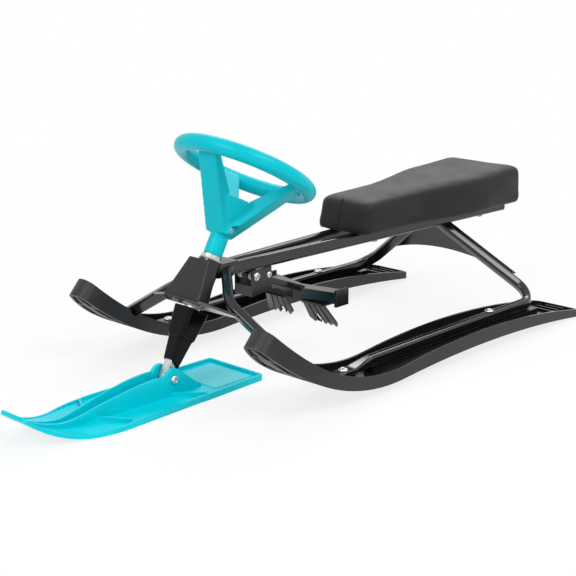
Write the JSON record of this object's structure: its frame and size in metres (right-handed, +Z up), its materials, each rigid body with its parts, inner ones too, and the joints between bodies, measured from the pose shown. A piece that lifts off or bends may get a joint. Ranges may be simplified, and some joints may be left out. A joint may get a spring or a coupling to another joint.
{
  "type": "steering sled",
  "caption": "Children's snow sled with a steering wheel on a leaning column, a pivoting front ski, a bent tube frame, a padded seat, curved rear skis and toothed foot brakes.",
  "frame": {"origin": "on the ground, under the middle of the sled's length and width", "axes": "+X forward to the tip of the front ski, +Y to the rider's left, +Z up"},
  "size_m": [1.155, 0.506, 0.4056],
  "materials": {
    "frame_paint": "gloss black powder coat",
    "ski_plastic": "black moulded plastic, satin to gloss",
    "turquoise_plastic": "turquoise moulded plastic, half gloss",
    "cover_plastic": "gloss black",
    "fairing_plastic": "satin dark grey",
    "bush_plastic": "natural nylon",
    "seat_vinyl": "matt grained vinyl over foam",
    "zinc": "zinc plated"
  },
  "bodies": {
    "frame": {"brake_bracket": "frame_paint", "brake_pivot_bolt": "zinc", "brake_pivot_nut": "zinc", "brake_stop_bolt": "zinc", "brake_stop_nut": "zinc", "fairing_screws": "zinc", "front_cross_plate": "frame_paint", "front_fairing": "fairing_plastic", "head_tube": "frame_paint", "left_brake_spring": "zinc", "left_foot_plate": "frame_paint", "left_rear_ski": "ski_plastic", "left_rear_tube": "frame_paint", "left_side_tube": "frame_paint", "lower_bush": "bush_plastic", "neck_box": "frame_paint", "rail_end_plugs": "cover_plastic", "rear_gusset": "frame_paint", "right_brake_spring": "zinc", "right_foot_plate": "frame_paint", "right_rear_ski": "ski_plastic", "right_rear_tube": "frame_paint", "right_side_tube": "frame_paint", "seat_board": "fairing_plastic", "seat_bolts": "zinc", "seat_cushion": "seat_vinyl", "seat_straps": "frame_paint", "ski_bolts": "zinc", "ski_nuts": "zinc", "upper_bush": "bush_plastic"},
    "steering": {"steering_shaft": "zinc", "steering_yoke": "zinc", "pivot_sleeve": "zinc", "lower_thrust_washer": "zinc", "upper_thrust_washer": "zinc", "steering_cover": "cover_plastic", "steering_wheel": "turquoise_plastic", "wheel_bolt": "zinc", "wheel_nut": "zinc"},
    "front_ski": {"front_ski": "turquoise_plastic", "front_ski_bolt": "zinc", "front_ski_nut": "zinc"},
    "left_brake": {"left_brake_lever": "frame_paint", "left_brake_claw": "frame_paint", "left_claw_bolt": "zinc"},
    "right_brake": {"right_brake_lever": "frame_paint", "right_brake_claw": "frame_paint", "right_claw_bolt": "zinc"}
  },
  "joints": [
    {"name": "steering", "type": "hinge", "parent": "frame", "child": "steering", "pos_m": [0.285, 0, 0.03], "axis": [-0.5075, 0, 0.8616], "range_deg": [-30, 30]},
    {"name": "front_ski_pitch", "type": "hinge", "parent": "steering", "child": "front_ski", "pos_m": [0.285, 0, 0.03], "axis": [0, 1, 0], "range_deg": [-12, 12]},
    {"name": "left_brake", "type": "hinge", "parent": "frame", "child": "left_brake", "pos_m": [0.1005, 0, 0.1615], "axis": [0, -1, 0], "range_deg": [0, 32], "stiffness_Nm_per_rad": 1.2, "springref_deg": -40.11, "deforming": ["left_brake_spring"]},
    {"name": "right_brake", "type": "hinge", "parent": "frame", "child": "right_brake", "pos_m": [0.1005, 0, 0.1615], "axis": [0, -1, 0], "range_deg": [0, 32], "stiffness_Nm_per_rad": 1.2, "springref_deg": -40.11, "deforming": ["right_brake_spring"]}
  ]
}
